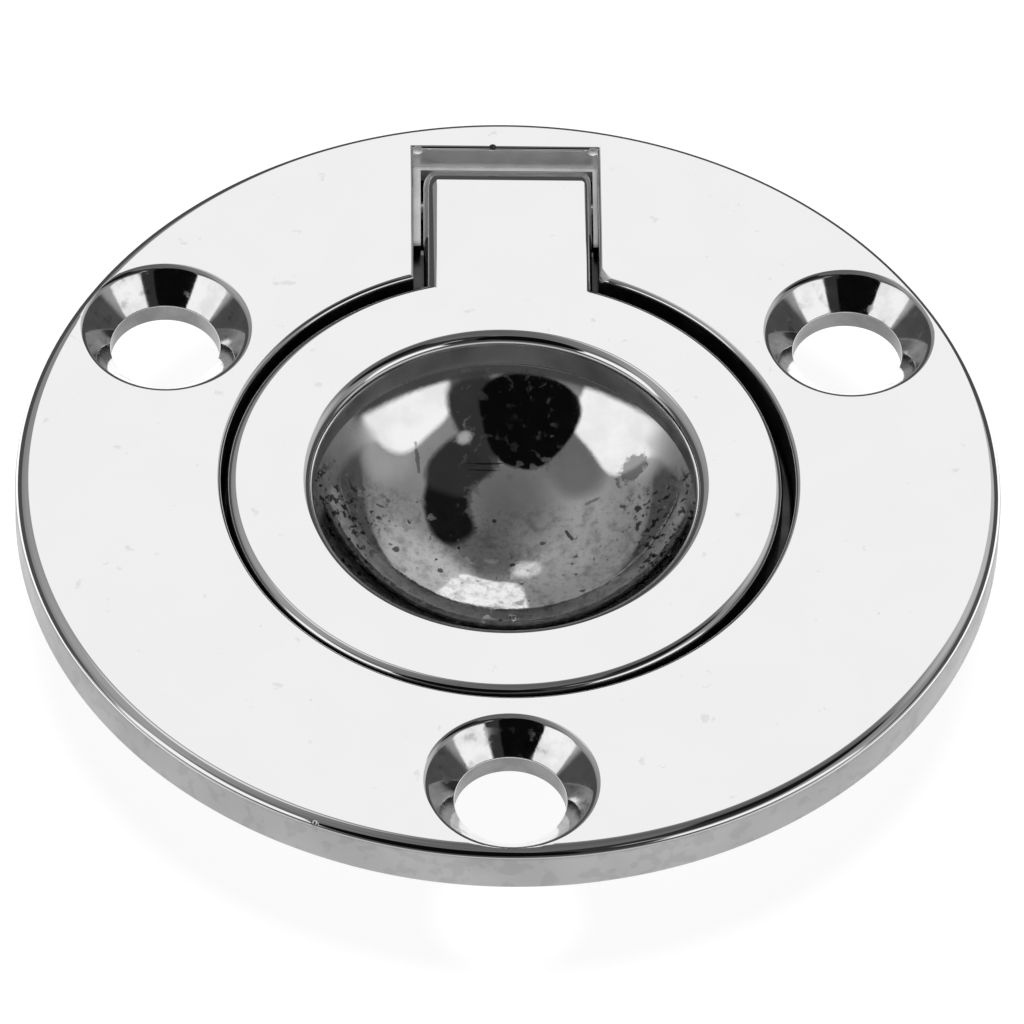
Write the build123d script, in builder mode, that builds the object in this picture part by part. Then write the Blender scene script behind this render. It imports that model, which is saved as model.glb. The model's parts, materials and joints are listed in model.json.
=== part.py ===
from build123d import *
from math import cos, radians, sin, sqrt
import os

# Round flush ring pull: a cast plate with a keyhole recess, a cast ring with a hinge tab that lies
# flush in it, and the pin that joins them. Millimetres. The origin is on the plate's mounting face,
# at the centre of the screw circle: +Z points out of the panel, and +Y from the ring to its hinge.

# --- base plate: flange -------------------------------------------------------------------------
flange_radius = 28.5
flange_thickness = 2.85
flange_edge_break = 0.4

# --- base plate: pocket for the ring, and the finger dish in its floor --------------------------
pocket_clearance = 0.5          # round the ring, if it lay in the middle
pocket_lip_break = 0.3
dish_curve_radius = 15.4
dish_depth = 9.7                # from the plate's face to the deepest point
dish_mouth_chamfer = 0.4
casting_wall = 1.7              # metal behind the pocket, and the least behind the dish
cup_slope = 40                  # of the cup's side behind the dish, from the flange's plane, in degrees
back_corner_chamfer = 0.8       # cast corners of the round boss behind the pocket, and of the cup

# --- base plate: screw holes --------------------------------------------------------------------
screw_count = 3
screw_circle_shift = 0.5        # outward from the middle of the land between pocket and rim
screw_hole_radius = 3.2
countersink_radius = 5.0
countersink_angle = 90

# --- pull ring ----------------------------------------------------------------------------------
ring_thickness = 2.6
ring_outer_radius = 16.1
ring_hole_radius = 11.1
ring_shift_x = -0.2             # the ring lies a little left of the pocket's centre ...
ring_shift_y = -0.25            # ... and a little away from the hinge
hole_top_round = 1.1
hole_bottom_break = 0.6
outer_top_break = 0.35
outer_bottom_break = 0.3
seat_clearance = 0.1            # ring underside to pocket floor

# --- hinge --------------------------------------------------------------------------------------
hinge_inset = 5.4               # pin axis, in from the plate's rim
knuckle_radius = 2.6            # the tab's rolled end, about the pin, flush with the face on top
knuckle_clearance = 0.2
knuckle_root_round = 0.3
tab_width = 9.9
tab_shift_x = 0.1               # the tab lies a little right of the plate's centre line
tab_left_round = 0.9
tab_right_round = 0.6
tab_clearance = 0.15            # each side of the tab, in its slot
pin_radius = 0.8
pin_clearance = 0.05            # running fit in the ring's knuckle
pin_end_chamfer = 0.15
pin_recess = 0.2                # each pin end, below the side of the hinge boss

# --- base plate: notch round the tab, and the hinge boss behind it ------------------------------
notch_gap = 0.5                 # each side of the tab, above the ledge
notch_ledge = 0.25              # strip of ledge behind the knuckle's slot
notch_ledge_depth = 1.7         # the ledge over the pin, below the plate's face
notch_lip_round = 0.2
ledge_front_run = 3.15          # from the pin axis to where the ledge drops to the pocket floor
ledge_front_round = 0.3
hinge_wall = 1.4                # metal round the knuckle's slot
cheek_wall = 2.0                # metal that holds the pin, each side of the slot

# --- worked-out places --------------------------------------------------------------------------
face_level = flange_thickness
ring_underside = face_level - ring_thickness
pocket_floor = ring_underside - seat_clearance
pocket_back = pocket_floor - casting_wall
pocket_radius = ring_outer_radius + pocket_clearance
pocket_boss_radius = pocket_radius + casting_wall
screw_circle_radius = (pocket_radius + flange_radius) / 2 + screw_circle_shift

dish_floor = face_level - dish_depth
dish_centre_level = dish_floor + dish_curve_radius
dish_mouth_radius = sqrt(dish_curve_radius**2 - (dish_centre_level - pocket_floor) ** 2)
cup_back = dish_floor - casting_wall

hinge_y = flange_radius - hinge_inset
hinge_level = face_level - knuckle_radius
slot_radius = knuckle_radius + knuckle_clearance
slot_width = tab_width + 2 * tab_clearance
notch_width = tab_width + 2 * notch_gap
slot_back_y = hinge_y + slot_radius
notch_back_y = slot_back_y + notch_ledge
ledge_front_y = hinge_y - ledge_front_run
barrel_radius = slot_radius + hinge_wall
boss_width = notch_width + 2 * cheek_wall
pin_length = boss_width - 2 * pin_recess

tab_root_y = ring_shift_y + (ring_hole_radius + ring_outer_radius) / 2
knuckle_root_y = hinge_y - sqrt(knuckle_radius**2 - (hinge_level - ring_underside) ** 2)

tab_section = Plane.YZ.offset(tab_shift_x)
hinge_axis_right = Plane((0, hinge_y, hinge_level), x_dir=(0, 1, 0), z_dir=(1, 0, 0))
ring_section = Plane((ring_shift_x, ring_shift_y, 0), x_dir=(1, 0, 0), z_dir=(0, -1, 0))
ring_axis = Axis((ring_shift_x, ring_shift_y, 0), (0, 0, 1))


def cup_radius(level):
    """Radius of the cup at a level: its sloping side is one wall away from the dish, where it is nearest."""
    slope = radians(cup_slope)
    return (dish_curve_radius + casting_wall - (dish_centre_level - level) * cos(slope)) / sin(slope)


def corner(sketch, across, up):
    """The sketch's corner nearest to a place. An edited sketch has new corners, so it is asked each time."""
    return sketch.vertices().sort_by_distance((across, up))[0]


# --- base plate ---------------------------------------------------------------------------------
with BuildPart() as base_plate:
    # The round casting in half section: dish, pocket, flange, and the boss and cup behind them.
    with BuildSketch(Plane.XZ) as casting_section:
        with BuildLine():
            dish = RadiusArc((0, dish_floor), (dish_mouth_radius, pocket_floor), -dish_curve_radius)
            Polyline(
                dish @ 1,
                (pocket_radius, pocket_floor),
                (pocket_radius, face_level),
                (flange_radius, face_level),
                (flange_radius, 0),
                (pocket_boss_radius, 0),
                (pocket_boss_radius, pocket_back),
                (cup_radius(pocket_back), pocket_back),
                (cup_radius(cup_back), cup_back),
                (0, cup_back),
                dish @ 0,
            )
        make_face()
        chamfer(corner(casting_section, dish_mouth_radius, pocket_floor), dish_mouth_chamfer)
        chamfer(corner(casting_section, flange_radius, face_level), flange_edge_break)
        chamfer(corner(casting_section, pocket_boss_radius, pocket_back), back_corner_chamfer)
        chamfer(corner(casting_section, cup_radius(cup_back), cup_back), back_corner_chamfer)
    revolve(axis=Axis.Z)

    # Hinge boss: a barrel round the knuckle's slot, and the floor that joins it to the round boss.
    with BuildSketch(Plane.YZ):
        with Locations((hinge_y, hinge_level)):
            Circle(barrel_radius)
        with Locations((pocket_radius, pocket_back)):
            Rectangle(hinge_y - pocket_radius, -pocket_back, align=(Align.MIN, Align.MIN))
        split(bisect_by=Plane.XZ, keep=Keep.TOP)
    extrude(amount=boss_width / 2, both=True)

    # Notch: as deep as the pocket up to the ledge, then only down to the ledge.
    for floor_level, far_y in ((pocket_floor, ledge_front_y), (face_level - notch_ledge_depth, notch_back_y)):
        with BuildSketch(Plane.XY.offset(floor_level)):
            Rectangle(notch_width, far_y, align=(Align.CENTER, Align.MIN))
        extrude(amount=face_level, mode=Mode.SUBTRACT)

    # Slot for the tab and its knuckle.
    with BuildSketch(tab_section):
        with Locations((hinge_y, hinge_level)):
            Circle(slot_radius)
        with Locations((ledge_front_y, pocket_floor)):
            Rectangle(slot_back_y - ledge_front_y, flange_thickness, align=(Align.MIN, Align.MIN))
    extrude(amount=slot_width / 2, both=True, mode=Mode.SUBTRACT)

    # Softened edges: the pocket's lip, the notch's lip, and the front of the ledge.
    face_arcs = base_plate.faces().sort_by(Axis.Z)[-1].edges().filter_by(GeomType.CIRCLE)
    chamfer(face_arcs.sort_by(SortBy.RADIUS)[0], pocket_lip_break)
    fillet(base_plate.faces().sort_by(Axis.Z)[-1].edges().filter_by(GeomType.LINE), notch_lip_round)
    ledge_edges = base_plate.edges().filter_by(Axis.X).filter_by_position(
        Axis.Z, face_level - notch_ledge_depth, face_level - notch_ledge_depth)
    fillet(ledge_edges.group_by(Axis.Y)[0], ledge_front_round)

    # Pin hole through both cheeks, drilled from the right along the flange's back.
    with BuildSketch(hinge_axis_right.offset(-boss_width / 2)):
        Circle(pin_radius)
    extrude(amount=boss_width / 2 + flange_radius, mode=Mode.SUBTRACT)

    # Countersunk screw holes.
    with Locations(Plane.XY.offset(face_level)):
        with PolarLocations(screw_circle_radius, screw_count, start_angle=-90):
            CounterSinkHole(screw_hole_radius, countersink_radius, counter_sink_angle=countersink_angle)

base_plate.part.label = "base_plate"

# --- pull ring: tab -----------------------------------------------------------------------------
# A slab as thick as the ring, rolled at its end into the knuckle round the pin.
with BuildPart() as tab:
    with BuildSketch(tab_section) as tab_profile:
        with Locations((tab_root_y, ring_underside)):
            Rectangle(hinge_y - tab_root_y, ring_thickness, align=(Align.MIN, Align.MIN))
        with Locations((hinge_y, hinge_level)):
            Circle(knuckle_radius)
        fillet(corner(tab_profile, knuckle_root_y, ring_underside), knuckle_root_round)
    extrude(amount=tab_width / 2, both=True)

    for side, edge_round in ((0, tab_left_round), (-1, tab_right_round)):
        side_edges = tab.faces().sort_by(Axis.X)[side].edges()
        top_edge = side_edges.sort_by(Axis.Z)[-1]
        fillet(side_edges.filter_by(GeomType.CIRCLE).sort_by(SortBy.RADIUS)[-1:] + [top_edge], edge_round)

# --- pull ring ----------------------------------------------------------------------------------
with BuildPart() as pull_ring:
    ring_width = ring_outer_radius - ring_hole_radius
    with BuildSketch(ring_section) as ring_profile:
        with Locations((ring_hole_radius, ring_underside)):
            Rectangle(ring_width, ring_thickness, align=(Align.MIN, Align.MIN))
        fillet(corner(ring_profile, ring_hole_radius, face_level), hole_top_round)
        chamfer(corner(ring_profile, ring_hole_radius, ring_underside), hole_bottom_break)
        chamfer(corner(ring_profile, ring_outer_radius, face_level), outer_top_break)
        chamfer(corner(ring_profile, ring_outer_radius, ring_underside), outer_bottom_break)
    revolve(axis=ring_axis)

    add(tab.part)
    with BuildSketch(hinge_axis_right):
        Circle(pin_radius + pin_clearance)
    extrude(amount=tab_width, both=True, mode=Mode.SUBTRACT)

pull_ring.part.label = "pull_ring"

# --- hinge pin ----------------------------------------------------------------------------------
with BuildPart() as hinge_pin:
    with BuildSketch(hinge_axis_right):
        Circle(pin_radius)
    extrude(amount=pin_length / 2, both=True)
    chamfer(hinge_pin.edges().filter_by(GeomType.CIRCLE), pin_end_chamfer)

hinge_pin.part.label = "hinge_pin"

# --- files --------------------------------------------------------------------------------------
os.makedirs("parts", exist_ok=True)
for piece in (base_plate.part, pull_ring.part, hinge_pin.part):
    export_step(piece, f"parts/{piece.label}.step")
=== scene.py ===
import json
import math

import bmesh
import bpy
from mathutils import Matrix, Vector


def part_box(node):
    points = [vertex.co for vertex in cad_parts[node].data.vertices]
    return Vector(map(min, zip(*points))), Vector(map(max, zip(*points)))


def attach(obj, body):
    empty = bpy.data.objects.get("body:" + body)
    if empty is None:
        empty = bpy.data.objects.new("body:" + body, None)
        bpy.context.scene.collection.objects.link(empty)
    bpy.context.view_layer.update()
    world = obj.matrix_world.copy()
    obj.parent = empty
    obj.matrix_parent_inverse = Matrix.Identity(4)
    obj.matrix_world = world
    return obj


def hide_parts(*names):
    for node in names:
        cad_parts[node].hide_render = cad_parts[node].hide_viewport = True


# The looks of a round flush ring pull: a plated casting, a plated ring that lies in it, and the pin
# between them. Sections and outlines are in millimetres, and become metres when a mesh is made.

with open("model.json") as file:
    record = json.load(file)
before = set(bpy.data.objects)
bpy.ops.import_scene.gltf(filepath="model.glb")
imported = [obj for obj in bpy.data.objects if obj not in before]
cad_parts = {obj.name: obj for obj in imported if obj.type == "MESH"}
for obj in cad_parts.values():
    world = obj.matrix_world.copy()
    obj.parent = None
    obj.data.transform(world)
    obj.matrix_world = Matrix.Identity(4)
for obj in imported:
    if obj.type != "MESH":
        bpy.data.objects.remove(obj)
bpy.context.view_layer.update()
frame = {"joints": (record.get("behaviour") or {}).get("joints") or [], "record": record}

MM = 0.001
ROUND_STEPS = 288               # round the axis of a turned form
CURVE_STEPS = 10                # along a quarter of an edge's round
EASE = 1.35                     # how slowly a polished edge leaves its flat
POLISHED_TILT = 56              # edges are polished up to this tilt from the flat top, in degrees, and past it the pocket's lip and the ring's outer edge are painted dark for shade ...
RIM_POLISHED_TILT = 66          # ... and the rim's edge up to this, past which its dark colour is painted shade of the floor it mirrors
BORE_TILT = 75                  # the ring's hole is turned, not polished, past this
WALL_TILT = 80                  # what is tilted more than this is a wall, in a hole or the notch ...
BACK_TILT = 96                  # ... and more than this faces the panel
CREASE = 28                     # an angle between faces, in degrees, that is an edge
FLAT_AREA = 4                   # a flat face's least area, in square millimetres
WELD = 2e-7                     # points nearer to each other than this are one, in metres
OVERSHOOT = 1                   # how far a cutting tool reaches past what it cuts
NEAR = 0.01                     # a tolerance on a face's place

# --- sizes that the frame gives -------------------------------------------------------------------
plate_low, plate_high = (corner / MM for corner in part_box("base_plate"))
ring_low, ring_high = (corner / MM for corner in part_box("pull_ring"))
pin_low, pin_high = (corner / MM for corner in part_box("hinge_pin"))
hinge = Vector(frame["joints"][0]["pos_m"]) / MM
screws = frame["record"]["mounts"][0]["dims"]

face_level = plate_high.z
flange_radius = plate_high.x
cup_back = plate_low.z
ring_outer_radius = (ring_high.x - ring_low.x) / 2
ring_x = (ring_high.x + ring_low.x) / 2
ring_y = ring_low.y + ring_outer_radius
knuckle_radius = face_level - hinge.z
pin_radius = (pin_high.z - pin_low.z) / 2

# --- casting: sizes of its forms ------------------------------------------------------------------
flange_edge_run = 0.85          # of its polished edge, in from the rim ...
flange_edge_drop = 0.6          # ... and down it
flange_back_round = 0.12
pocket_clearance = 0.5          # round the ring, if it lay in the middle
pocket_radius = ring_outer_radius + pocket_clearance
pocket_floor = 0.15
pocket_lip_run = 0.34           # of its polished edge, in the same way
pocket_lip_drop = 0.26
pocket_corner_round = 0.3
dish_curve_radius = 15.4
dish_depth = 9.7
dish_floor = face_level - dish_depth
dish_centre_level = dish_floor + dish_curve_radius
dish_mouth_round = 0.5
casting_wall = 1.7
cup_slope = 40                  # of the cup's side, from the flange's plane, in degrees
boss_root_chamfer = 0.2         # between the flange's back and the round boss
back_corner_round = 0.8
countersink_radius = 4.85
countersink_edge_round = 0.6
screw_hole_edge_round = 0.12
screw_turns = [math.radians(-90 + 360 * k / screws["count"]) for k in range(screws["count"])]
screw_places = [(screws["pcd_mm"] / 2 * math.cos(turn), screws["pcd_mm"] / 2 * math.sin(turn))
                for turn in screw_turns]

# --- casting: notch and hinge boss ----------------------------------------------------------------
tab_width = 9.9
tab_clearance = 0.15            # each side of the tab, in its slot
knuckle_clearance = 0.2         # round the knuckle, in its slot
notch_gap = 0.5                 # each side of the tab, above the ledge
notch_lip_round = 0.2
notch_front_y = 14.8            # where its tools begin, on the pocket's floor
ledge_depth = 1.7               # of the ledge over the pin, below the face
ledge_strip = 0.25              # width of the ledge behind the slot
ledge_front_run = 3.15          # from the pin's axis to where the ledge drops to the pocket's floor
ledge_front_round = 0.3
barrel_wall = 1.4               # round the slot
cheek_wall = 2.0                # each side of the notch
boss_edge_round = 0.5

slot_width = tab_width + 2 * tab_clearance
slot_radius = knuckle_radius + knuckle_clearance
notch_width = tab_width + 2 * notch_gap
ledge_level = face_level - ledge_depth
ledge_front_y = hinge.y - ledge_front_run
slot_back_y = hinge.y + slot_radius
notch_back_y = slot_back_y + ledge_strip
barrel_radius = slot_radius + barrel_wall
boss_width = notch_width + 2 * cheek_wall

# --- casting: wear, with each round dent's x, y, level and radius ---------------------------------
# the two corner dents take a white matt finish: a painted highlight in each back corner of the notch
notch_glint_chips = [(side * (notch_width / 2 - 0.25), notch_back_y - 0.02, face_level - 0.26, 0.32)
               for side in (-1, 1)]
notch_nick = (-0.75, notch_back_y + 0.12, face_level - 0.02, 0.2)
rim_dent = (-11.1, -26.1, face_level - 0.12, 0.24)
dish_bubble = (0.5, -2.5, dish_floor + 0.28, 0.3)
flare_radius = 3.2              # in plan, of the worn corner between the notch and the pocket
flare_depth = 0.65

# --- ring and tab ---------------------------------------------------------------------------------
ring_thickness = 2.6
ring_hole_radius = 11.1
ring_middle_radius = (ring_hole_radius + ring_outer_radius) / 2
ring_underside = face_level - ring_thickness
hole_edge_run = 0.8
hole_edge_drop = 0.7
hole_bottom_round = 0.6
ring_edge_run = 0.62
ring_edge_drop = 0.42
ring_back_round = 0.3
tab_left_round = 0.9
tab_right_round = 0.6
tab_root_y = ring_y + ring_middle_radius
knuckle_root_round = 0.3
pin_clearance = 0.05
pin_end_chamfer = 0.15


# --- outlines -------------------------------------------------------------------------------------
def arc(centre, radius, start, end, steps=CURVE_STEPS):
    """Points along an arc, from one angle to another in degrees, anticlockwise from the first axis."""
    angles = [math.radians(start + (end - start) * i / steps) for i in range(steps + 1)]
    return [(centre[0] + radius * math.cos(a), centre[1] + radius * math.sin(a)) for a in angles]


def eased(corner, run, drop):
    """Points of a polished edge from a flat top down to a wall. It leaves the flat slowly and meets the
    wall tightly. The corner is where flat and wall would meet, and the run may be to either side."""
    steps = 2 * CURVE_STEPS
    across = up = 0
    points = [(0, 0)]
    for i in range(steps):
        turn = math.pi / 2 * ((i + 0.5) / steps) ** EASE
        across += math.cos(turn)
        up += math.sin(turn)
        points.append((across, up))
    return [(corner[0] + run * (1 - x / across), corner[1] - drop * z / up) for x, z in points]


def dish_section():
    """The dish from its lowest point to the pocket's floor, with a rounded mouth."""
    mouth_level = pocket_floor - dish_mouth_round
    reach = dish_curve_radius + dish_mouth_round
    mouth_radius = math.sqrt(reach**2 - (dish_centre_level - mouth_level) ** 2)
    slope = math.degrees(math.atan2(mouth_level - dish_centre_level, mouth_radius))
    bowl = arc((0, dish_centre_level), dish_curve_radius, -90, slope, steps=5 * CURVE_STEPS)
    mouth = arc((mouth_radius, mouth_level), dish_mouth_round, slope + 180, 90)
    return [(0, dish_floor)] + bowl[1:-1] + mouth


def back_section():
    """The flange's back, the round boss behind the pocket and the cup behind the dish, to the axis."""
    boss_radius = pocket_radius + casting_wall
    boss_back = pocket_floor - casting_wall
    slope = math.radians(cup_slope)
    reach = dish_curve_radius + casting_wall
    side = [(reach - (dish_centre_level - level) * math.cos(slope)) / math.sin(slope)
            for level in (boss_back, cup_back)]
    turn = back_corner_round * math.tan(slope / 2)
    return (
        arc((flange_radius - flange_back_round, flange_back_round), flange_back_round, 0, -90, steps=3)
        + [(boss_radius + boss_root_chamfer, 0), (boss_radius, -boss_root_chamfer)]
        + arc((boss_radius - back_corner_round, boss_back + back_corner_round), back_corner_round, 0, -90)
        + [(side[0] + turn, boss_back)]
        + arc((side[1] - turn, cup_back + back_corner_round), back_corner_round, cup_slope - 90, -90)
        + [(0, cup_back)]
    )


def casting_section():
    """Half of the round casting's section, from the bottom of the dish over the rim to the cup's back."""
    corner = pocket_corner_round
    lip = eased((pocket_radius, face_level), pocket_lip_run, pocket_lip_drop)
    return (
        dish_section()
        + arc((pocket_radius - corner, pocket_floor + corner), corner, -90, 0)
        + lip[::-1]
        + eased((flange_radius, face_level), -flange_edge_run, flange_edge_drop)
        + back_section()
    )


def ring_section():
    """The ring's section, a closed loop."""
    hole_edge = eased((ring_hole_radius, face_level), hole_edge_run, hole_edge_drop)
    back = ring_back_round
    foot = hole_bottom_round
    return (
        hole_edge[::-1]
        + eased((ring_outer_radius, face_level), -ring_edge_run, ring_edge_drop)
        + arc((ring_outer_radius - back, ring_underside + back), back, 0, -90)
        + arc((ring_hole_radius + foot, ring_underside + foot), foot, -90, -180)
    )


def tab_outline(inset):
    """The tab's side view in (y, z), with its rolled end, drawn in from its edges by an inset."""
    roll = knuckle_radius - inset
    root = knuckle_root_round
    out = math.sqrt((roll + root) ** 2 - (hinge.z - ring_underside + root) ** 2)
    turn = math.degrees(math.atan2(ring_underside - root - hinge.z, -out))
    return (
        [(tab_root_y, face_level - inset), (tab_root_y, ring_underside)]
        + arc((hinge.y - out, ring_underside - root), root, 90, turn + 180, steps=4)
        + arc((hinge.y, hinge.z), roll, turn % 360, 450, steps=4 * CURVE_STEPS)[1:]
    )


def slot_outline():
    """The side view of the slot that takes the tab and its knuckle."""
    meets = math.degrees(math.asin((pocket_floor - hinge.z) / slot_radius))
    top = face_level + OVERSHOOT
    return (
        arc((hinge.y, hinge.z), slot_radius, 180 - meets, 360, steps=4 * CURVE_STEPS)
        + [(slot_back_y, top), (notch_front_y, top), (notch_front_y, pocket_floor)]
    )


def pin_circle(radius):
    """A circle about the hinge's axis in (y, z)."""
    count = 48
    return arc((hinge.y, hinge.z), radius, 0, 360 - 360 / count, steps=count - 1)


# --- meshes ---------------------------------------------------------------------------------------
def make(name, points, faces):
    """A mesh object from points in millimetres, with its faces turned outward."""
    mesh = bpy.data.meshes.new(name)
    mesh.from_pydata([Vector(p) * MM for p in points], [], faces)
    shape = bmesh.new()
    shape.from_mesh(mesh)
    bmesh.ops.recalc_face_normals(shape, faces=shape.faces)
    shape.to_mesh(mesh)
    shape.free()
    piece = bpy.data.objects.new(name, mesh)
    bpy.context.scene.collection.objects.link(piece)
    return piece


def lathe(name, section, centre=(0, 0), steps=ROUND_STEPS):
    """A turned body from (radius, level) points: a loop, or a line that starts and ends on the axis."""
    points = []
    rows = []
    for radius, level in section:
        if abs(radius) < 1e-9:
            rows.append([len(points)] * steps)
            points.append((centre[0], centre[1], level))
            continue
        rows.append(list(range(len(points), len(points) + steps)))
        for i in range(steps):
            turn = 2 * math.pi * i / steps
            points.append((centre[0] + radius * math.cos(turn), centre[1] + radius * math.sin(turn), level))
    if section[0][0] > 0:
        rows.append(rows[0])
    faces = []
    for low, high in zip(rows, rows[1:]):
        for i in range(steps):
            j = (i + 1) % steps
            face = list(dict.fromkeys((low[i], low[j], high[j], high[i])))
            if len(face) > 2:
                faces.append(face)
    return make(name, points, faces)


def loft(name, outlines):
    """A body through outlines that have as many points each, closed by a face at each end."""
    count = len(outlines[0])
    points = [point for outline in outlines for point in outline]
    faces = [list(range(count)), list(range(len(points) - count, len(points)))]
    for k in range(len(outlines) - 1):
        for i in range(count):
            j = (i + 1) % count
            faces.append([k * count + i, k * count + j, (k + 1) * count + j, (k + 1) * count + i])
    return make(name, points, faces)


def along_x(name, outline, low, high):
    """A body with one side view, from one place along X to another."""
    return loft(name, [[(x, y, z) for y, z in outline] for x in (low, high)])


def combine(body, tool, operation):
    """Joins a tool's form to the body, or cuts it out, and deletes the tool."""
    step = body.modifiers.new(operation, "BOOLEAN")
    step.operation = operation
    step.solver = "EXACT"
    step.object = tool
    bake(body)
    bpy.data.objects.remove(tool)


def bake(body):
    """Makes the body's modifiers part of its mesh."""
    view = bpy.context.evaluated_depsgraph_get()
    view.update()
    mesh = bpy.data.meshes.new_from_object(body.evaluated_get(view))
    body.modifiers.clear()
    body.data = mesh


def flat_faces(shape):
    """The faces that lie in one plane with more than FLAT_AREA of others."""
    planes = {}
    for face in shape.faces:
        level = face.normal.dot(face.verts[0].co) / MM
        key = tuple(round(number, 3) for number in (*face.normal, level))
        planes.setdefault(key, []).append(face)
    flat = [faces for faces in planes.values() if sum(face.calc_area() for face in faces) > FLAT_AREA * MM**2]
    return {face.index for faces in flat for face in faces}


def fans(vertex):
    """The faces round a vertex, in groups that no sharp edge divides."""
    groups = {face: {face} for face in vertex.link_faces}
    for edge in vertex.link_edges:
        if edge.smooth and len(edge.link_faces) == 2:
            first, second = (groups[face] for face in edge.link_faces)
            if first is not second:
                first |= second
                groups.update(dict.fromkeys(second, first))
    return {id(group): group for group in groups.values()}.values()


def smooth(body):
    """Shades curves smooth, keeps flats flat up to the edge of a round, and leaves creases sharp."""
    shape = bmesh.new()
    shape.from_mesh(body.data)
    bmesh.ops.remove_doubles(shape, verts=shape.verts, dist=WELD)
    bmesh.ops.dissolve_degenerate(shape, edges=shape.edges, dist=WELD / 2)
    for face in shape.faces:
        face.smooth = True
    for edge in shape.edges:
        edge.smooth = edge.calc_face_angle(0) < math.radians(CREASE)
    for elements in (shape.verts, shape.edges, shape.faces):
        elements.index_update()
    flat = flat_faces(shape)
    normals = {}
    for vertex in shape.verts:
        for fan in fans(vertex):
            corners = [(face, loop) for face in fan for loop in face.loops if loop.vert is vertex]
            anchors = [face.normal * face.calc_area() for face in fan if face.index in flat]
            parts = anchors or [face.normal * loop.calc_angle() for face, loop in corners]
            normal = sum(parts, Vector()).normalized()
            for face, loop in corners:
                normals[face.index, vertex.index] = normal
    shape.to_mesh(body.data)
    shape.free()
    mesh = body.data
    mesh.normals_split_custom_set([
        normals[polygon.index, mesh.loops[k].vertex_index]
        for polygon in mesh.polygons for k in polygon.loop_indices
    ])


# --- pieces ---------------------------------------------------------------------------------------
def notch_tools():
    """What is cut away for the tab: the notch down to its ledge, the deep run before it, and the slot."""
    half = notch_width / 2
    lip = notch_lip_round
    wall = [(0, ledge_level)] + arc((lip, face_level - lip), lip, 180, 90) + [(lip, face_level + OVERSHOOT)]
    layers = []
    for out, z in wall:
        ways = (notch_front_y, ledge_front_y, notch_back_y + out)
        layers.append([(half + out, y, z) for y in ways] + [(-half - out, y, z) for y in ways[::-1]])
    deep_back_y = ledge_front_y + ledge_front_round
    deep_top = ledge_level + OVERSHOOT / 2
    deep = (
        [(notch_front_y, pocket_floor), (ledge_front_y, pocket_floor)]
        + arc((deep_back_y, ledge_level - ledge_front_round), ledge_front_round, 180, 90)
        + [(deep_back_y, deep_top), (notch_front_y, deep_top)]
    )
    return [
        loft("notch", layers),
        along_x("deep_run", deep, -half, half),
        along_x("slot", slot_outline(), hinge.x - slot_width / 2, hinge.x + slot_width / 2),
    ]


def dents():
    """A ball for each round dent."""
    return [lathe("dent", arc((0, z), radius, -90, 90, steps=16), (x, y), steps=24)
            for x, y, z, radius in (*notch_glint_chips, rim_dent, dish_bubble, notch_nick)]


def corner_flare():
    """What is worn off the corner between the notch's right side and the pocket, rounded in plan."""
    margin = 0.4
    side = notch_width / 2
    reach = pocket_radius + flare_radius
    centre = Vector((side + flare_radius, math.sqrt(reach**2 - (side + flare_radius) ** 2)))
    touch = centre * (pocket_radius - margin) / reach
    ways = [(side - margin, touch.y), touch, centre, (side - margin, centre.y)]
    low = face_level - flare_depth
    waste = loft("flare", [[(x, y, z) for x, y in ways] for z in (low, face_level + OVERSHOOT)])
    foot = flare_radius + flare_depth
    kept = [(0, low - OVERSHOOT), (foot, low - OVERSHOOT)]
    kept += eased((foot, face_level), -flare_depth, flare_depth)[::-1]
    combine(waste, lathe("kept", kept + [(0, face_level)], centre, steps=96), "DIFFERENCE")
    return waste


def hinge_boss():
    """The barrel behind the notch, which holds the pin, and the run that joins it to the round boss."""
    half = boss_width / 2
    layers = []
    for side in (-1, 1):
        ends = arc((half - boss_edge_round, barrel_radius - boss_edge_round), boss_edge_round, 90, 0, steps=4)
        for x, radius in (ends if side > 0 else ends[::-1]):
            inset = barrel_radius - radius
            barrel = arc((hinge.y, hinge.z), radius, 225, 360, steps=3 * CURVE_STEPS)
            floor = pocket_floor - casting_wall + inset
            outline = [(pocket_radius, floor), (hinge.y - barrel_radius, floor)] + barrel
            outline += [(hinge.y + radius, face_level / 2), (pocket_radius, face_level / 2)]
            layers.append([(side * x, y, z) for y, z in outline])
    return loft("hinge_boss", layers)


def screw_tool(centre):
    """What a countersunk screw hole takes out, with softened edges."""
    hole = screws["hole_r_mm"]
    edge = countersink_edge_round
    foot = screw_hole_edge_round
    turn = math.tan(math.radians(22.5))
    cone_foot = face_level - (countersink_radius - hole)
    mouth = countersink_radius + edge * turn
    top = face_level + OVERSHOOT
    section = (
        [(0, -OVERSHOOT), (hole, -OVERSHOOT)]
        + arc((hole + foot, cone_foot - foot * turn), foot, 180, 135, steps=5)
        + arc((mouth, face_level - edge), edge, 135, 90, steps=5)
        + [(mouth, top), (0, top)]
    )
    return lathe("screw_hole", section, centre, steps=144)


def casting():
    """The plate: its turned form and hinge boss, with everything that is cut into them."""
    body = lathe("plate_casting", casting_section())
    combine(body, hinge_boss(), "UNION")
    for tool in notch_tools() + [corner_flare()] + dents():
        combine(body, tool, "DIFFERENCE")
    pin_hole = along_x(
        "pin_hole", pin_circle(pin_radius), -boss_width / 2 - OVERSHOOT, flange_radius + OVERSHOOT)
    combine(body, pin_hole, "DIFFERENCE")
    for place in screw_places:
        combine(body, screw_tool(place), "DIFFERENCE")
    smooth(body)
    return body


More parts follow.
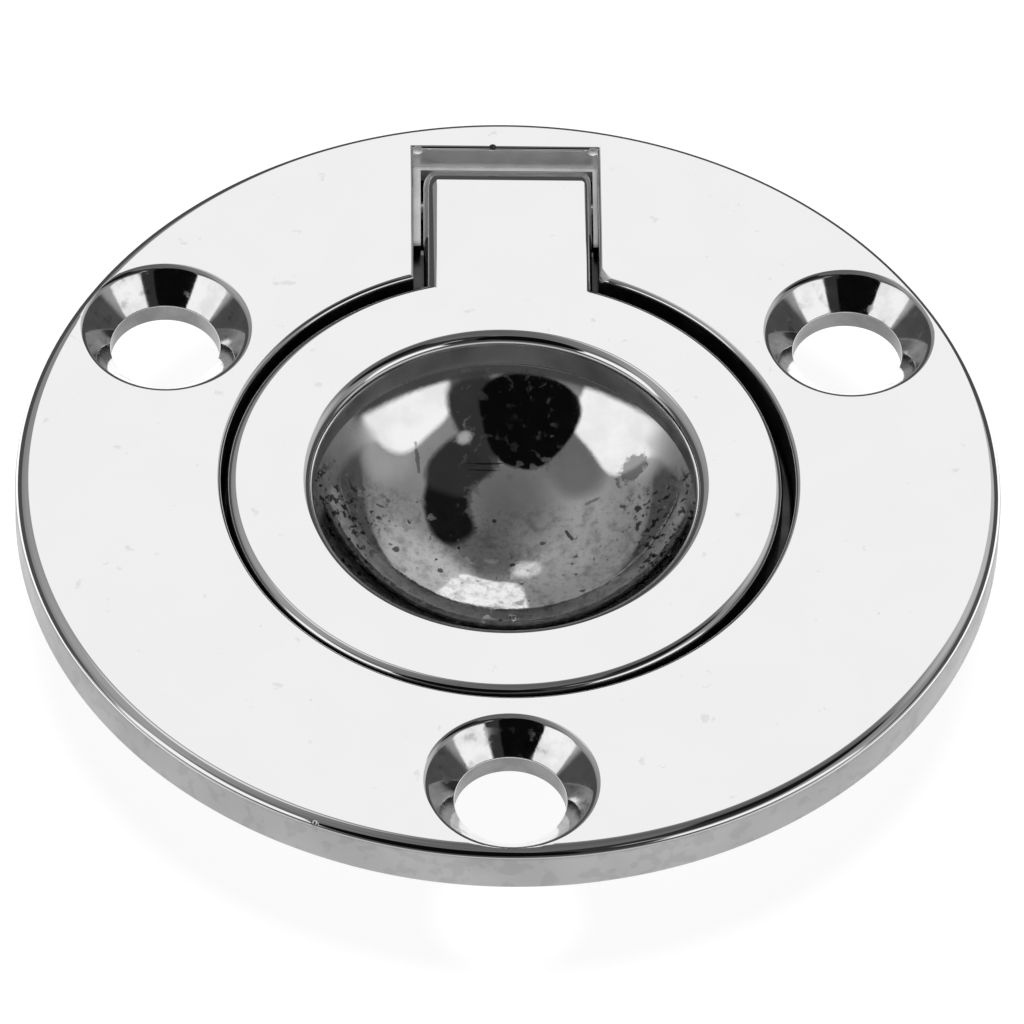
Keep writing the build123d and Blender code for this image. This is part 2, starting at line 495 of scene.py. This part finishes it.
def ring():
    """The ring with its tab, whose side edges are rounded."""
    body = lathe("ring_casting", ring_section(), (ring_x, ring_y))
    left = hinge.x - tab_width / 2
    right = hinge.x + tab_width / 2
    layers = [(x, -z) for x, z in eased((left, 0), tab_left_round, tab_left_round)[::-1]]
    layers += [(x, -z) for x, z in eased((right, 0), -tab_right_round, tab_right_round)]
    tab = loft("tab", [[(x, y, z) for y, z in tab_outline(inset)] for x, inset in layers])
    combine(body, tab, "UNION")
    bore = along_x("bore", pin_circle(pin_radius + pin_clearance), left - OVERSHOOT, right + OVERSHOOT)
    combine(body, bore, "DIFFERENCE")
    smooth(body)
    return body


def pin():
    """The pin, with chamfered ends."""
    end = pin_end_chamfer
    half = (pin_high.x - pin_low.x) / 2
    sections = [(-half, pin_radius - end), (end - half, pin_radius),
                (half - end, pin_radius), (half, pin_radius - end)]
    body = loft("pin_wire", [[(x, y, z) for y, z in pin_circle(radius)] for x, radius in sections])
    smooth(body)
    return body


# --- materials ------------------------------------------------------------------------------------
def node(tree, kind, **settings):
    """Adds a node with its settings."""
    made = tree.nodes.new(kind)
    for name, value in settings.items():
        setattr(made, name, value)
    return made


def feed(tree, socket, value):
    """Sets a socket to a number, or links it to another socket."""
    if isinstance(value, bpy.types.NodeSocket):
        tree.links.new(value, socket)
    else:
        socket.default_value = value


def maths(tree, operation, *values):
    """The result of a sum on numbers or sockets."""
    made = node(tree, "ShaderNodeMath", operation=operation)
    for socket, value in zip(made.inputs, values):
        feed(tree, socket, value)
    return made.outputs[0]


def ramp(tree, value, low, high, start=0.0, end=1.0):
    """Rises smoothly from start to end as the value goes from low to high."""
    made = node(tree, "ShaderNodeMapRange", interpolation_type="SMOOTHSTEP")
    for socket, number in zip(made.inputs, (value, low, high, start, end)):
        feed(tree, socket, number)
    return made.outputs[0]


def noise(tree, scale, detail=3.0):
    """Noise over the object, with a scale in blotches per millimetre."""
    place = node(tree, "ShaderNodeTexCoord")
    made = node(tree, "ShaderNodeTexNoise")
    tree.links.new(place.outputs["Object"], made.inputs["Vector"])
    made.inputs["Scale"].default_value = scale / MM
    made.inputs["Detail"].default_value = detail
    return made.outputs[0]


def grey(tree, value):
    """A colour with the same value in red, green and blue."""
    made = node(tree, "ShaderNodeCombineColor")
    for socket in made.inputs:
        feed(tree, socket, value)
    return made.outputs[0]


def within(tree, value, span):
    """1 where a value lies past the second of two numbers, 0 before the first, in either order."""
    return ramp(tree, value, *span) if span[0] < span[1] else ramp(tree, value, *span[::-1], 1.0, 0.0)


def place_on_part(tree):
    """How far from the axis, to the hinge's side and to either side a point lies, in millimetres."""
    place = node(tree, "ShaderNodeTexCoord")
    split = node(tree, "ShaderNodeSeparateXYZ")
    tree.links.new(place.outputs["Object"], split.inputs[0])
    x, y, _ = (maths(tree, "DIVIDE", way, MM) for way in split.outputs)
    square = maths(tree, "ADD", maths(tree, "MULTIPLY", x, x), maths(tree, "MULTIPLY", y, y))
    return maths(tree, "SQRT", square), y, maths(tree, "ABSOLUTE", x)


def smudge(tree, x, y, turn, half_length, half_width):
    """1 within an uneven oval mark, seen from the front, and 0 outside it."""
    any_height = 1e6
    raggedness = 1.6
    place = node(tree, "ShaderNodeTexCoord")
    mapping = node(tree, "ShaderNodeMapping", vector_type="TEXTURE")
    mapping.inputs["Location"].default_value = (x * MM, y * MM, 0)
    mapping.inputs["Rotation"].default_value = (0, 0, math.radians(turn))
    mapping.inputs["Scale"].default_value = (half_length * MM, half_width * MM, any_height)
    reach = node(tree, "ShaderNodeVectorMath", operation="LENGTH")
    tree.links.new(place.outputs["Object"], mapping.inputs["Vector"])
    tree.links.new(mapping.outputs[0], reach.inputs[0])
    ragged = maths(tree, "MULTIPLY", noise(tree, 3.0), raggedness)
    return ramp(tree, maths(tree, "ADD", reach.outputs["Value"], ragged), 1.5, 1.9, 1.0, 0.0)


def blotches(tree, scale, rarity, soft, most, spans):
    """Spots up to a strength: so many to a millimetre, fewer where rarity is higher, with soft edges,
    and only in the spans of the three measures that place_on_part gives. None is no limit."""
    spots = ramp(tree, noise(tree, scale, 5.0), rarity, rarity + soft, 0.0, most)
    for value, span in zip(place_on_part(tree), spans):
        if span:
            spots = maths(tree, "MULTIPLY", spots, within(tree, value, span))
    return spots


def plated(name, colours, roughness, cloud=0.25, metallic=1.0, relief=0.0, relief_scale=1.0, stains=(),
           smudges=(), dull=()):
    """Plated metal. The colour wanders between two greys, and the roughness between two values, in soft
    clouds. Relief is a bump's height in millimetres. Stains and smudges darken the colour, and dull
    spots are rougher."""
    material = bpy.data.materials.new(name)
    material.use_nodes = True
    tree = material.node_tree
    shader = tree.nodes["Principled BSDF"]
    shader.inputs["Metallic"].default_value = metallic
    marks = [blotches(tree, *stain) for stain in stains]
    marks += [maths(tree, "MULTIPLY", smudge(tree, *shape), darkness) for *shape, darkness in smudges]
    colour = ramp(tree, noise(tree, cloud), 0.35, 0.65, *colours)
    for mark in marks:
        colour = maths(tree, "MULTIPLY", colour, maths(tree, "SUBTRACT", 1.0, mark))
    rough = ramp(tree, noise(tree, 2 * cloud), 0.35, 0.65, *roughness)
    for spots in dull:
        rough = maths(tree, "MAXIMUM", rough, blotches(tree, *spots))
    tree.links.new(grey(tree, colour), shader.inputs["Base Color"])
    tree.links.new(rough, shader.inputs["Roughness"])
    if relief:
        bump = node(tree, "ShaderNodeBump")
        bump.inputs["Distance"].default_value = relief * MM
        tree.links.new(noise(tree, relief_scale, 4.0), bump.inputs["Height"])
        tree.links.new(bump.outputs[0], shader.inputs["Normal"])
    return material


# --- surroundings ---------------------------------------------------------------------------------
def room(tree, direction):
    """Brightness of the studio in a direction: grey walls, a white wall behind the part, two windows by
    the camera, and the dark of the camera. Azimuth is 0 towards the camera and 90 to the right, and
    elevation is up from the horizon."""
    split = node(tree, "ShaderNodeSeparateXYZ")
    tree.links.new(direction, split.inputs[0])
    x, y, z = split.outputs
    azimuth = maths(tree, "DEGREES", maths(tree, "ARCTAN2", x, maths(tree, "MULTIPLY", y, -1.0)))
    elevation = maths(tree, "DEGREES", maths(tree, "ARCSINE", z))
    # what it is, its azimuth and elevation, its half width and half height in degrees, how square it
    # is (2 is an ellipse), how soft its edge is, and its brightness: each lies over the ones before
    places = [
        ("low walls", 0, -30, 400, 61, 8, 0.35, 0.13),
        ("light wall, left", -125, 64, 65, 20, 2, 0.9, 0.34),
        ("ceiling", 0, 96, 400, 27, 2, 1.0, 0.12),
        ("far wall, upper right", 160, 68, 36, 15, 2, 0.9, 0.11),
        ("dark wall, right", 98, 65, 40, 9.5, 4, 0.5, 0.008),
        ("dark wall, upper right", 48, 63.5, 36, 11, 4, 0.5, 0.028),
        ("grey wall, left", -60, 58, 30, 11, 3, 0.8, 0.14),
        ("light wall, right behind", 142, 42, 26, 13, 2, 0.9, 0.48),
        ("lamp, left behind", -168, 58, 9, 4, 2, 0.9, 0.8),
        ("dark skirting", 180, 14, 97, 16, 5, 0.2, 0.07),
        ("beside the left window", -77, 31, 17, 13, 2, 0.8, 0.42),
        ("beside the right window", 78, 35, 16, 11, 2, 0.8, 0.32),
        ("white wall behind", 170, 38, 17, 14, 6, 0.3, 0.93),
        ("left window", -63, 31.5, 24, 17, 4, 0.25, 0.94),
        ("right window", 54, 29, 24, 16.5, 3, 0.25, 0.94),
        ("low front", 0, 0, 93, 32, 2, 0.08, 0.06),
        ("lowest front", 0, 0, 93, 23, 2, 0.3, 0.11),
        ("light along the floor", 0, 0, 95, 14.5, 8, 0.6, 0.5),
        ("right of the camera", 20, 49, 16, 19, 3, 0.4, 0.032),
        ("camera", -14, 51.5, 32, 20.5, 3, 0.12, 0.003),
        ("lamp by the camera", 34, 55, 6, 2.5, 2, 0.9, 0.4),
    ]
    result = 0.24               # the plain walls
    for _, across, up, half_width, half_height, square, soft, brightness in places:
        turn = maths(tree, "WRAP", maths(tree, "SUBTRACT", azimuth, across), 180.0, -180.0)
        climb = maths(tree, "SUBTRACT", elevation, up)
        reach = 0.0
        for angle, half in ((turn, half_width), (climb, half_height)):
            share = maths(tree, "ABSOLUTE", maths(tree, "DIVIDE", angle, half))
            reach = maths(tree, "ADD", reach, maths(tree, "POWER", share, square))
        mask = ramp(tree, reach, 1 - soft, 1 + soft, 1.0, 0.0)
        result = maths(tree, "ADD", maths(tree, "MULTIPLY", mask, brightness),
                       maths(tree, "MULTIPLY", maths(tree, "SUBTRACT", 1.0, mask), result))
    return result


def light_room():
    """The world is what the metal reflects, and plain white where the camera sees it. A soft box above
    brings what is matt to a plain level, and doesn't show in the metal."""
    world = bpy.data.worlds.new("studio")
    bpy.context.scene.world = world
    world.use_nodes = True
    tree = world.node_tree
    background = tree.nodes["Background"]
    place = node(tree, "ShaderNodeTexCoord")
    path = node(tree, "ShaderNodeLightPath")
    walls = room(tree, place.outputs["Generated"])
    seen = maths(tree, "MAXIMUM", walls, path.outputs["Is Camera Ray"])
    tree.links.new(grey(tree, seen), background.inputs["Color"])
    lamp = bpy.data.objects.new("soft_box", bpy.data.lights.new("soft_box", "AREA"))
    lamp.data.shape = "DISK"
    lamp.data.size = 0.5
    lamp.data.energy = 7
    lamp.location = (0, 0, 1)
    lamp.visible_glossy = False
    bpy.context.scene.collection.objects.link(lamp)


def lay_floor():
    """A pale floor under the cup, near white to the eye and in the metal, that takes a soft shadow."""
    gap = 0.05
    level = cup_back - gap
    reach = 600
    seen_white = 0.86
    own_grey = 0.3
    corners = [(-reach, -reach, level), (reach, -reach, level), (reach, reach, level), (-reach, reach, level)]
    floor = make("floor", corners, [(0, 1, 2, 3)])
    if floor.data.polygons[0].normal.z < 0:
        floor.data.flip_normals()
    material = bpy.data.materials.new("floor_paper")
    material.use_nodes = True
    tree = material.node_tree
    tree.nodes.clear()
    path = node(tree, "ShaderNodeLightPath")
    seen = maths(tree, "MAXIMUM", path.outputs["Is Camera Ray"], path.outputs["Is Glossy Ray"])
    seen = maths(tree, "MAXIMUM", seen, path.outputs["Is Transmission Ray"])
    glow = node(tree, "ShaderNodeEmission")
    glow.inputs["Color"].default_value = (1, 1, 1, 1)
    tree.links.new(maths(tree, "MULTIPLY", seen, seen_white), glow.inputs["Strength"])
    paper = node(tree, "ShaderNodeBsdfDiffuse")
    paper.inputs["Color"].default_value = (own_grey, own_grey, own_grey, 1)
    both = node(tree, "ShaderNodeAddShader")
    tree.links.new(glow.outputs[0], both.inputs[0])
    tree.links.new(paper.outputs[0], both.inputs[1])
    clear = node(tree, "ShaderNodeBsdfTransparent")
    side = node(tree, "ShaderNodeNewGeometry")
    pick = node(tree, "ShaderNodeMixShader")
    tree.links.new(side.outputs["Backfacing"], pick.inputs[0])
    tree.links.new(both.outputs[0], pick.inputs[1])
    tree.links.new(clear.outputs[0], pick.inputs[2])
    output = node(tree, "ShaderNodeOutputMaterial")
    tree.links.new(pick.outputs[0], output.inputs["Surface"])
    floor.data.materials.append(material)


def place_camera():
    """The camera stands far off in front of the part, with a long lens, and looks down at it."""
    elevation = math.radians(48.37)
    distance = 696.3
    roll = math.radians(1.80)
    heading = math.radians(-1.75)
    target = Vector((0.27, -2.66, face_level))
    back = Vector((0, -math.cos(elevation), math.sin(elevation)))
    across = Vector((1, 0, 0))
    up = back.cross(across)
    axes = Matrix((
        across * math.cos(roll) + up * math.sin(roll),
        up * math.cos(roll) - across * math.sin(roll),
        back,
    )).transposed().to_4x4()
    axes.translation = (target + back * distance) * MM
    camera = bpy.data.objects.new("camera", bpy.data.cameras.new("camera"))
    camera.matrix_world = Matrix.Rotation(heading, 4, "Z") @ axes
    camera.data.lens = 424.6
    camera.data.sensor_width = 36
    camera.data.clip_end = 10
    bpy.context.scene.collection.objects.link(camera)
    bpy.context.scene.camera = camera


# --- finishes -------------------------------------------------------------------------------------
def tilt_of(normal):
    """The angle between a face and the flat top, in degrees: 90 is a wall, and 180 faces the panel."""
    return math.degrees(math.acos(min(max(normal.z, -1), 1)))


def in_dent(centre, dents_there):
    """Whether a face lies in one of some round dents."""
    return any((centre - Vector(dent[:3])).length < dent[3] + 2 * NEAR for dent in dents_there)


def in_slot(centre):
    """Whether a face is the wall or the bottom of the slot for the tab and its knuckle."""
    from_axis = math.hypot(centre.y - hinge.y, centre.z - hinge.z)
    return abs(centre.x - hinge.x) < slot_width / 2 + NEAR and from_axis < slot_radius + NEAR


def plate_finish(centre, normal):
    """Which finish a face of the plate has, by its place and its direction."""
    x, y, z = centre
    radius = math.hypot(x, y)
    tilt = tilt_of(normal)
    from_screw = min(math.hypot(x - across, y - up) for across, up in screw_places)
    if from_screw < countersink_radius and 0 < z < face_level - 2 * NEAR:
        # the holes' walls take the hole finish, whose dark grey is painted shade
        return "hole" if tilt > WALL_TILT else "countersink"
    if radius < pocket_radius and z < pocket_floor - NEAR and tilt < 90:
        return "dish"
    if tilt < 1 and abs(z - ledge_level) < NEAR:
        return "ledge"
    # the corner dents are white and matt, a painted highlight
    if in_dent(centre, notch_glint_chips):
        return "glint_chip"
    # the nick and the slot round the knuckle take the dark recess finish: painted shade
    if in_dent(centre, [notch_nick]) or in_slot(centre):
        return "recess"
    if z < NEAR or tilt > BACK_TILT:
        return "cast_back"
    if radius > flange_radius - flange_edge_run:
        # past its tilt the rim's edge takes the rim finish, whose dark colour is painted shade
        return "rim" if tilt > RIM_POLISHED_TILT else "polish"
    if abs(x) < notch_width / 2 + NEAR and radius > pocket_radius and z < face_level - notch_lip_round:
        # the deep run before the ledge is painted dark for its shade
        if y < ledge_front_y + 2 * NEAR:
            return "recess"
        return "ledge" if tilt < WALL_TILT and z < ledge_level + NEAR else "notch"
    # the pocket's steep lip and what lies below the lip, in the gap round the ring, are painted dark for
    # shade
    if radius < pocket_radius + pocket_lip_run and tilt > POLISHED_TILT or z < face_level - pocket_lip_drop:
        return "recess"
    return "polish"


def ring_finish(centre, normal):
    """Which finish a face of the ring has: polished in front and inside, duller underneath, and painted dark
    for shade on the steep part of its outer edge, beside the gap.
    """
    radius = math.hypot(centre.x - ring_x, centre.y - ring_y)
    tilt = tilt_of(normal)
    if tilt > BACK_TILT:
        return "underside"
    if radius < ring_middle_radius and tilt > BORE_TILT:
        return "bore"
    # the steep part of the outer edge, beside the gap, takes the dark recess finish: painted shade
    if radius > ring_outer_radius - ring_edge_run and centre.y < pocket_radius and tilt > POLISHED_TILT:
        return "recess"
    return "polish"


def dress(piece, choose, finishes):
    """Gives each face of a piece its finish."""
    names = []
    for face in piece.data.polygons:
        name = choose(face.center / MM, face.normal)
        if name not in names:
            names.append(name)
            piece.data.materials.append(finishes[name])
        face.material_index = names.index(name)


# --- the part -------------------------------------------------------------------------------------
place_camera()
light_room()
lay_floor()

# Marks in the dish: x, y, turn, half length, half width, darkness.
dish_marks = [
    (-5.15, 7.5, 98, 0.85, 0.14, 0.55),
    (7.4, 6.3, 20, 0.95, 0.75, 0.6),
    (3.75, 3.4, -55, 0.45, 0.12, 0.8),
    (-1.0, 7.8, 3, 1.1, 0.05, 0.7),
    (-1.2, 7.45, 2, 0.9, 0.04, 0.6),
    (-6.4, 1.65, 60, 0.3, 0.2, 0.8),
    (-3.8, 0.9, 0, 0.2, 0.18, 0.8),
    (-0.6, 4.6, 0, 0.16, 0.14, 0.8),
    (2.2, 3.1, 0, 0.2, 0.14, 0.7),
    (5.1, 5.2, 15, 0.5, 0.12, 0.5),
]
# Parts of the dish, as spans of the three measures that place_on_part gives.
below_windows = (None, (6.0, 4.5))
both_sides = ((7.3, 8.3), (5.5, 4.0), (4.5, 6.0))
back_middle = (None, (4.0, 5.0), (4.0, 2.5))
under_ring = ((10.4, 11.2), (9.0, 7.0), None)
finishes = {
    "polish": plated("polished_plating", (0.925, 0.935), (0.02, 0.04), stains=[(0.9, 0.68, 0.07, 0.12, ())]),
    "dish": plated("worn_plating", (0.84, 0.94), (0.02, 0.05), 0.5, relief=0.0018, relief_scale=1.6, stains=[
        (2.0, 0.67, 0.05, 0.8, below_windows),
        (1.6, 0.45, 0.25, 0.30, below_windows),
        (4.0, 0.50, 0.20, 0.22, below_windows),
        (2.4, 0.52, 0.10, 0.85, both_sides),
    ], smudges=dish_marks, dull=[
        (1.3, 0.58, 0.12, 0.25, below_windows),
        (1.8, 0.50, 0.14, 0.20, back_middle),
        (1.0, 0.00, 0.10, 0.30, under_ring),
    ]),
    "countersink": plated("drilled_plating", (0.80, 0.94), (0.04, 0.08), 0.8, relief=0.002, relief_scale=2.5,
                          stains=[(0.9, 0.58, 0.15, 0.40, ())], dull=[(1.2, 0.55, 0.15, 0.20, ())]),
    # hole: the dark grey is painted shade, for the shaded floor under the flange that the holes' walls mirror
    "hole": plated("bored_plating_painted_shade", (0.22, 0.30), (0.20, 0.30), 0.5),
    "bore": plated("turned_plating", (0.78, 0.88), (0.32, 0.42), 0.4),
    # chip: white matt, a painted highlight in the notch's back corners
    "glint_chip": plated("chipped_plating_painted_glint", (0.90, 0.95), (0.40, 0.50), 1.0, metallic=0.0),
    # rim: the roughness is the ground finish; the dark colour is painted shade, for the shaded floor that the
    # rim's edge mirrors
    "rim": plated("ground_plating_painted_shade", (0.345, 0.40), (0.30, 0.40), 0.2, stains=[(0.9, 0.52, 0.07, 0.10, ())]),
    "notch": plated("satin_plating", (0.80, 0.92), (0.30, 0.40), 0.5, metallic=0.35, relief=0.003,
                    relief_scale=3.0),
    "ledge": plated("milled_plating", (0.62, 0.70), (0.35, 0.45), 0.8, metallic=0.1),
    # recess: rough plating whose dark colour is painted shade, for the gaps round the ring, the slot, the
    # notch's deep run and the nick
    "recess": plated("unpolished_plating_painted_shade", (0.15, 0.23), (0.35, 0.45), 0.5, relief=0.01, relief_scale=3.0),
    "underside": plated("tumbled_plating", (0.65, 0.75), (0.20, 0.30), 0.3, metallic=0.85),
    "cast_back": plated("cast_plating", (0.50, 0.62), (0.40, 0.50), 0.3, relief=0.02, relief_scale=1.2),
    "wire": plated("drawn_wire", (0.55, 0.62), (0.25, 0.35), 1.0),
}
for piece, body, replaced, slot, choose in (
    (casting(), "base", "base_plate", "plate_metal", plate_finish),
    (ring(), "ring", "pull_ring", "ring_metal", ring_finish),
    (pin(), "base", "hinge_pin", "pin_metal", lambda centre, normal: "wire"),
):
    dress(piece, choose, finishes)
    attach(piece, body)
    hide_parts(replaced)

bpy.context.scene.view_settings.view_transform = "Standard"
